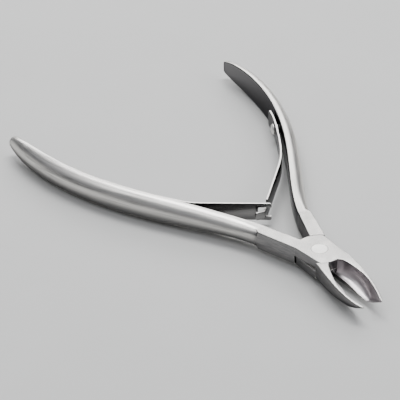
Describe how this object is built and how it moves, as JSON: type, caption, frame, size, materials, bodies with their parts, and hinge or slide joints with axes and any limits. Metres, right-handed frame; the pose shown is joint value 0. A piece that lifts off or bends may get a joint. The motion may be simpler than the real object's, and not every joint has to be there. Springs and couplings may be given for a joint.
{
  "type": "cuticle nipper",
  "caption": "Steel cuticle nipper with a lap joint, hollow half-spoon jaws, bowed handles and a pair of hooked leaf springs that hold it open.",
  "frame": {"origin": "on the pivot axis, at the centre of the pivot rivet's flush lower face on the joint's flat underside", "axes": "+Z along the pivot axis, out of the face of lever A; +Y from the pivot to the jaws; the handles run toward -Y, lever A's handle on +X and lever B's on -X"},
  "size_m": [0.0696, 0.1108, 0.0072],
  "materials": {
    "satin_steel": "fine satin on the flat faces and handles, polished in the jaw hollows",
    "polished_steel": "polished spring steel",
    "rivet_steel": "smooth, slightly brighter than the levers"
  },
  "bodies": {
    "lever_b_body": {"lever_b": "satin_steel", "pivot_rivet": "rivet_steel", "spring_rivet_b": "rivet_steel"},
    "lever_a_body": {"lever_a": "satin_steel", "spring_rivet_a": "rivet_steel"},
    "spring_a_body": {"spring_a": "polished_steel"},
    "spring_b_body": {"spring_b": "polished_steel"}
  },
  "joints": [
    {"name": "pivot", "type": "hinge", "parent": "lever_b_body", "child": "lever_a_body", "pos_m": [0, 0, 0], "axis": [0, 0, 1], "range_deg": [-10.7, 0]},
    {"name": "spring_a_flex", "type": "hinge", "parent": "lever_a_body", "child": "spring_a_body", "pos_m": [0.0249, -0.05314, 0.0024], "axis": [0, 0, 1], "range_deg": [-2.7, 0]},
    {"name": "spring_b_flex", "type": "hinge", "parent": "lever_b_body", "child": "spring_b_body", "pos_m": [-0.0249, -0.05314, 0.0024], "axis": [0, 0, 1], "range_deg": [0, 2.7]}
  ],
  "couplings": [
    {"joint": "spring_a_flex", "follows": "pivot", "ratio": 0.25},
    {"joint": "spring_b_flex", "follows": "pivot", "ratio": -0.25}
  ]
}
